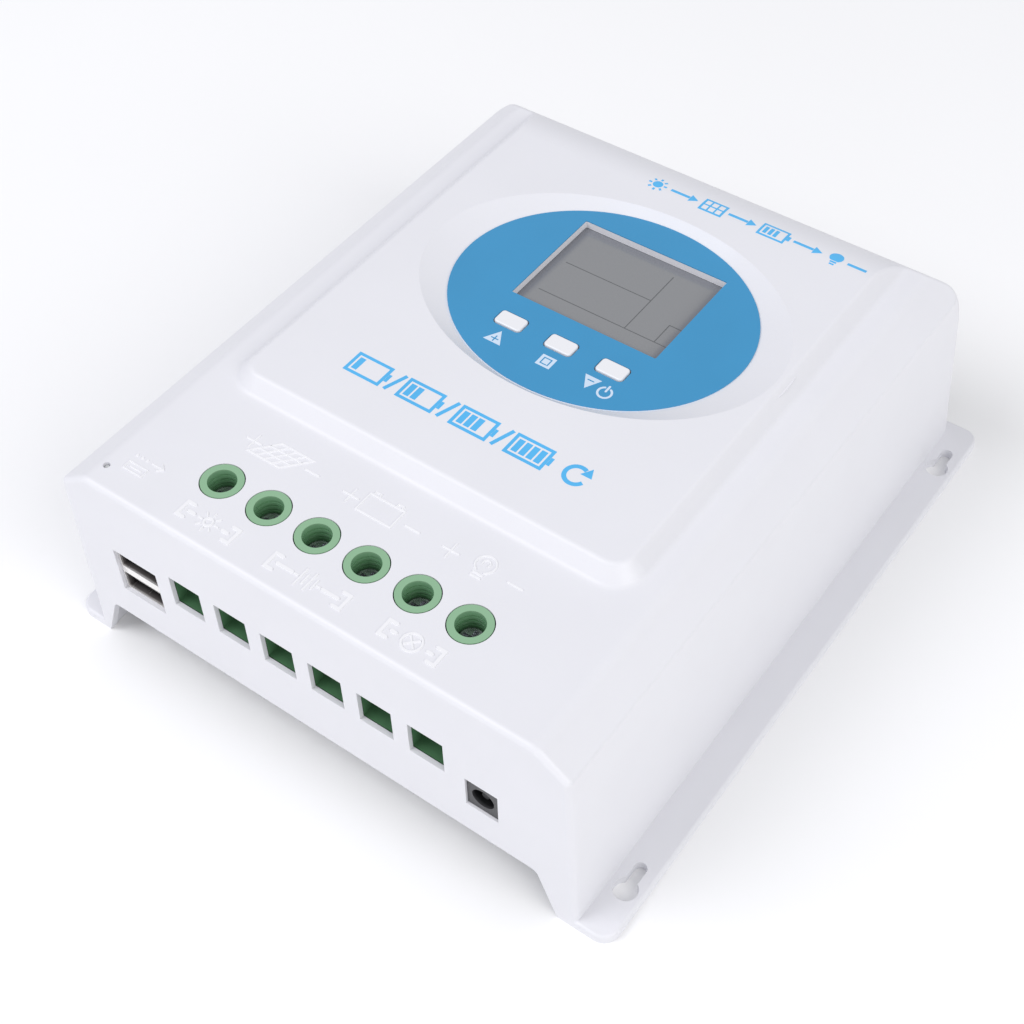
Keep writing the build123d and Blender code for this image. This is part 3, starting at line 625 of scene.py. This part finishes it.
def cell_sign(marks, centre):
    """The circuit sign of a battery: long and short plates on a wire."""
    for x, half in ((-2.1, 2.6), (-0.7, 1.3), (0.7, 2.6), (2.1, 1.3)):
        marks.stroke([centre + offset(x, -half), centre + offset(x, half)], RAISED_WIDTH * 1.1)
    for side in (-1, 1):
        wire = [centre + offset(2.6 * side, 0), centre + offset(4.0 * side, 0)]
        marks.stroke(wire, RAISED_WIDTH * 1.1, round_ends=False)


def load_sign(marks, centre):
    """The circuit sign of a lamp: a crossed circle."""
    marks.stroke(circle(centre, 2.5 * MM, 28), RAISED_WIDTH * 1.2, closed=True)
    reach = 1.45
    for lean in (-1, 1):
        end = offset(reach, reach * lean)
        marks.stroke([centre - end, centre + end], RAISED_WIDTH * 1.1, round_ends=False)


def front_signs(marks):
    """A sign between two brackets in front of each pair of terminals."""
    y = 7.4
    bold = 1.1 * MM
    hook_depth, hook_half, sign_room = 2.0, 2.2, 4.6
    rows = ((-40.4, -24.0, sun_sign), (-12.6, 9.8, cell_sign), (21.2, 36.8, load_sign))
    for left, right, draw in rows:
        centre = spot((left + right) / 2, y)
        draw(marks, centre)
        for end, inward in ((left, 1), (right, -1)):
            hook = [
                spot(end + hook_depth * inward, y + hook_half),
                spot(end, y + hook_half),
                spot(end, y - hook_half),
                spot(end + hook_depth * inward, y - hook_half),
            ]
            marks.stroke(hook, bold)
            start = spot(end + 2.2 * inward, y)
            stop = centre - offset(sign_room * inward, 0)
            marks.stroke([start, stop], bold)


def lamp_hole_marks(marks):
    """Dots, an arrow and a small boxed line beside the lamp hole."""
    fine = 0.45 * MM
    start = spot(-61.2, 13.4)
    for i in range(3):
        marks.fill(circle(start + offset(1.7 * i, 0), 0.5 * MM, 12))
    tip = start + offset(8.8, 0)
    marks.stroke([start + offset(5.0, 0), tip], fine)
    marks.stroke([tip + offset(-1.3, 1.1), tip, tip + offset(-1.3, -1.1)], fine)
    low = start - offset(0.4, 3.6)
    marks.stroke(box_outline(low + offset(3.2, 0), 6.0 * MM, 2.4 * MM), fine, closed=True)
    marks.stroke([low + offset(1.6, 0), low + offset(4.8, 0)], fine)


relief = Marks(height, RAISED_LOW, RAISED_HIGH, RAISED_EDGE)
deck_marks(relief)
front_signs(relief)
lamp_hole_marks(relief)
relief.finish("deck_relief", raised)


# ------------------------------------------------------------------ prints on the platform
CELL_GAP = 0.5 * MM
CELL_MARGIN = 1.1 * MM  # total clearance between the cells and the outline
CELLS_IN_FULL = 4


def battery_print(marks, centre, cells, size, line):
    """A battery outline holding a number of cell bars."""
    width, depth = size
    marks.stroke(box_outline(centre, width, depth), line, closed=True)
    nose = centre + Vector((width / 2 + line / 2 + 0.5 * MM, 0))
    marks.fill(box_outline(nose, 0.9 * MM, depth * 0.42))
    room = width - line - CELL_MARGIN
    bar = (room - CELL_GAP * (CELLS_IN_FULL - 1)) / CELLS_IN_FULL
    for i in range(cells):
        x = centre.x - room / 2 + bar / 2 + i * (bar + CELL_GAP)
        marks.fill(box_outline(Vector((x, centre.y)), bar, depth - line - CELL_MARGIN))


def system_row():
    """Four batteries with one to four cells, parted by slashes, and a turning arrow."""
    marks = Marks(height, -0.02 * MM, 0.02 * MM)
    start = spot(-30.6, 66.3)
    pitch = 16.6 * MM
    for i in range(CELLS_IN_FULL):
        centre = start + Vector((pitch * i, 0))
        battery_print(marks, centre, i + 1, (10.4 * MM, 6.4 * MM), 0.95 * MM)
        if i < CELLS_IN_FULL - 1:
            foot = centre + offset(7.4, -3.4)
            marks.stroke([foot, foot + offset(2.4, 6.8)], 1.1 * MM, round_ends=False)
    turn = start + Vector((pitch * CELLS_IN_FULL - 3.0 * MM, 0))
    reach = 2.9 * MM
    marks.stroke(arc(turn, reach, 60, 335, 24), 1.2 * MM, round_ends=False)
    head_angle = math.radians(57)
    out = Vector((math.cos(head_angle), math.sin(head_angle)))
    ahead = Vector((out.y, -out.x))
    foot = turn + out * reach
    marks.fill([foot - out * 1.8 * MM, foot + ahead * 2.7 * MM, foot + out * 1.8 * MM])
    marks.finish("system_print", print_blue)


FLOW_ARROW = 8.8 * MM  # length of the arrows in the flow row


def arrow(marks, start):
    tip = start + Vector((FLOW_ARROW, 0))
    marks.stroke([start, tip - offset(2.7, 0)], 1.0 * MM, round_ends=False)
    marks.fill([tip, tip + offset(-2.6, 1.6), tip + offset(-2.6, -1.6)])


def sun_print(marks, centre):
    marks.fill(circle(centre, 1.5 * MM, 20))
    for i in range(8):
        t = math.radians(45 * i)
        way = Vector((math.cos(t), math.sin(t)))
        ray = [centre + way * 1.95 * MM, centre + way * 2.9 * MM]
        marks.stroke(ray, 0.65 * MM, round_ends=False)


def lamp_print(marks, centre):
    hub = centre + offset(0, 0.7)
    marks.fill(arc(hub, 2.0 * MM, -55, 235, 20))
    marks.fill(box_outline(centre + offset(0, -1.55), 1.9 * MM, 0.65 * MM))
    marks.fill(box_outline(centre + offset(0, -2.5), 1.4 * MM, 0.6 * MM))


def grid_print(marks, centre):
    """A small solar panel."""
    width, depth, inside = 6.6, 4.8, 0.36
    line, rail_line = 0.7 * MM, 0.5 * MM
    marks.stroke(box_outline(centre, width * MM, depth * MM), line, closed=True)
    low, high = -depth / 2 + inside, depth / 2 - inside
    for x in (-1.1, 1.1):
        rail = [centre + offset(x, low), centre + offset(x, high)]
        marks.stroke(rail, rail_line, round_ends=False)
    for x0, x1 in ((-2.94, -1.36), (-0.84, 0.84), (1.36, 2.94)):
        rail = [centre + offset(x0, 0), centre + offset(x1, 0)]
        marks.stroke(rail, rail_line, round_ends=False)


def flow_row():
    """Sun, panel, battery and lamp joined by arrows, along the back of the platform."""
    marks = Marks(height, -0.02 * MM, 0.03 * MM, curved=True)
    y = 170.2
    sun_print(marks, spot(-10.2, y))
    arrow(marks, spot(-5.8, y))
    grid_print(marks, spot(8.0, y))
    arrow(marks, spot(12.8, y))
    battery_print(marks, spot(27.0, y), 3, (7.6 * MM, 4.8 * MM), 0.7 * MM)
    arrow(marks, spot(33.2, y))
    lamp_print(marks, spot(46.0, y))
    marks.stroke([spot(49.6, y), spot(55.2, y)], 1.0 * MM, round_ends=False)
    marks.finish("flow_print", print_blue)


system_row()
flow_row()


# ------------------------------------------------------------------ signs on the film
def film_top(x, y):
    """Height of the film, the same everywhere."""
    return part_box("display_film")[1].z


def key_signs():
    """Pale signs in front of the keys, with lines of the film's colour laid over them."""
    marks = Marks(film_top, -0.01 * MM, 0.02 * MM)
    cuts = Marks(film_top, 0.02 * MM, 0.035 * MM)
    cut_line, power_line = 0.36 * MM, 0.6 * MM
    y = FRONT + 95.6 * MM
    up = Vector((middle("key_up").x + 0.2 * MM, y))
    marks.fill([up + offset(-2.7, -2.0), up + offset(2.7, -2.0), up + offset(0, 2.7)])
    plus(cuts, up + offset(0, -0.5), 2.0 * MM, cut_line)
    menu = Vector((middle("key_menu").x + 0.2 * MM, y))
    marks.fill(box_outline(menu, 4.3 * MM, 4.0 * MM))
    cuts.stroke(
        [menu + offset(dx, dy)
         for dx, dy in ((0.7, -1.1), (-1.1, -1.1), (-1.1, 1.1), (1.1, 1.1), (1.1, -1.1))],
        0.34 * MM,
    )
    down = Vector((middle("key_down").x - 2.4 * MM, y))
    marks.fill([down + offset(-2.5, 2.2), down + offset(0, -2.3), down + offset(2.5, 2.2)])
    minus(cuts, down + offset(0, 0.8), 1.7 * MM, cut_line)
    power = Vector((middle("key_down").x + 2.8 * MM, y - 0.8 * MM))
    marks.stroke(arc(power, 1.85 * MM, 118, 422, 26), power_line)
    marks.stroke([power + offset(0, 0.5), power + offset(0, 2.5)], power_line)
    marks.finish("key_signs", print_pale)
    cuts.finish("key_sign_cuts", film_blue)


key_signs()


# ------------------------------------------------------------------ lines of the display
def glass_top(x, y):
    """Height of the display's face, the same everywhere."""
    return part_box("display_glass")[1].z


def display_lines():
    """Thin lines that part the display into fields."""
    marks = Marks(glass_top, -0.02 * MM, 0.02 * MM)
    lines = (
        ((-15.6, 132.5), (11.8, 132.5)),
        ((-15.6, 119.6), (25.2, 119.6)),
        ((11.8, 119.6), (11.8, 143.8)),
        ((21.0, 119.6), (21.0, 127.2), (25.4, 127.2)),
    )
    for points in lines:
        marks.stroke([spot(*point) for point in points], 0.26 * MM, round_ends=False)
    marks.finish("display_lines", display_line)


display_lines()


# ------------------------------------------------------------------ floor, light and camera
FLOOR_HALF = 6.0
WORLD_STRENGTH = 0.57
LIGHT_TARGET = (0, 0, 0.04)
CAMERA_AZIMUTH, CAMERA_ELEVATION, CAMERA_ROLL = 37.04, 49.42, -1.65  # degrees
CAMERA_LENS, CAMERA_SENSOR = 57.70, 36.0  # millimetres
CAMERA_PLACE = (0.1773, FRONT - 0.1508, 0.3640)


def floor():
    data = bpy.data.meshes.new("floor")
    half = FLOOR_HALF
    corners = [(-half, -half, 0), (half, -half, 0), (half, half, 0), (-half, half, 0)]
    data.from_pydata(corners, [], [(0, 1, 2, 3)])
    made = bpy.data.objects.new("floor", data)
    made.location.z = cover_low.z
    scene.collection.objects.link(made)
    paint = Paint("floor_pale", (0.97, 0.97, 0.97), 0.9)
    paint.mottle(3, 0.01)
    data.materials.append(paint.material)


def area_light(name, place, size, power, tint):
    """A round area light that faces the object."""
    data = bpy.data.lights.new(name, "AREA")
    data.shape = "DISK"
    data.size = size
    data.energy = power
    data.color = tint
    made = bpy.data.objects.new(name, data)
    made.location = place
    made.rotation_mode = "QUATERNION"
    aim = Vector(LIGHT_TARGET) - Vector(place)
    made.rotation_quaternion = aim.to_track_quat("-Z", "Y")
    scene.collection.objects.link(made)


def lights():
    world = bpy.data.worlds.new("studio")
    world.use_nodes = True
    background = world.node_tree.nodes["Background"]
    background.inputs["Color"].default_value = (0.95, 0.96, 1.0, 1)
    background.inputs["Strength"].default_value = WORLD_STRENGTH
    scene.world = world
    area_light("key_light", (-0.9, -1.1, 1.7), size=1.4, power=20.5, tint=(0.96, 0.96, 1.0))
    area_light("side_light", (1.75, -0.5, 1.4), size=1.6, power=18.5, tint=(1.0, 0.99, 0.97))


def camera():
    """A camera at the photograph's viewing angle."""
    azimuth, elevation = math.radians(CAMERA_AZIMUTH), math.radians(CAMERA_ELEVATION)
    roll = math.radians(CAMERA_ROLL)
    back = Vector((
        math.sin(azimuth) * math.cos(elevation),
        -math.cos(azimuth) * math.cos(elevation),
        math.sin(elevation),
    ))
    right = Vector((math.cos(azimuth), math.sin(azimuth), 0))
    up = back.cross(right)
    turned = right * math.cos(roll) + up * math.sin(roll)
    upright = -right * math.sin(roll) + up * math.cos(roll)
    data = bpy.data.cameras.new("camera")
    data.lens = CAMERA_LENS
    data.sensor_width = CAMERA_SENSOR
    data.clip_start = 0.01
    made = bpy.data.objects.new("camera", data)
    place = Matrix((turned, upright, back)).transposed().to_4x4()
    place.translation = Vector(CAMERA_PLACE)
    made.matrix_world = place
    scene.collection.objects.link(made)
    scene.camera = made


floor()
lights()
camera()
scene.view_settings.view_transform = "Standard"
scene.view_settings.look = "None"
